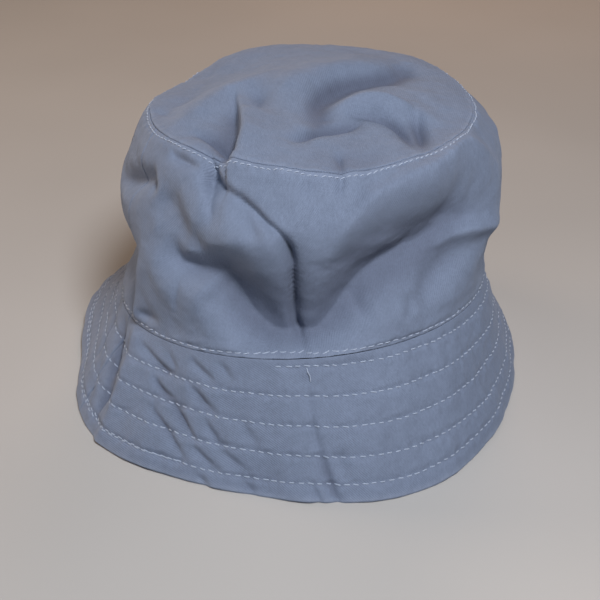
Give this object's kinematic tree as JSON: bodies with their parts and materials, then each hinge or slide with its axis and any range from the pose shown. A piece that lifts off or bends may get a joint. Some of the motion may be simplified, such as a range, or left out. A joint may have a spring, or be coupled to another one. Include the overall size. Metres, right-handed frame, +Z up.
{
  "type": "bucket hat",
  "caption": "Soft blue-grey twill bucket hat with an oval tip, a full side band and a downward brim quilted with a spiral of pale stitching.",
  "frame": {"origin": "centre of the hat's footprint, at the table it stands on", "axes": "+Z up through the crown, -Y towards the front of the hat, X from side seam to side seam"},
  "size_m": [0.2586, 0.2702, 0.1556],
  "materials": {
    "twill": "matte blue-grey cotton twill",
    "interlining": "matte white stiffener",
    "lining": "smooth plain-woven lining",
    "sweatband": "matte folded twill strip",
    "thread": "pale blue sewing thread"
  },
  "bodies": {
    "root": {"crown_tip": "twill", "side_band_front": "twill", "side_band_back": "twill", "brim_top_front": "twill", "brim_top_back": "twill", "brim_under_front": "twill", "brim_under_back": "twill", "brim_interlining_front": "interlining", "brim_interlining_back": "interlining", "lining_tip": "lining", "lining_side_front": "lining", "lining_side_back": "lining", "sweatband": "sweatband", "tip_stitch_thread": "thread", "crown_base_stitch_thread": "thread", "brim_needle_thread": "thread", "brim_bobbin_thread": "thread", "sweatband_stitch_thread": "thread"}
  },
  "joints": []
}
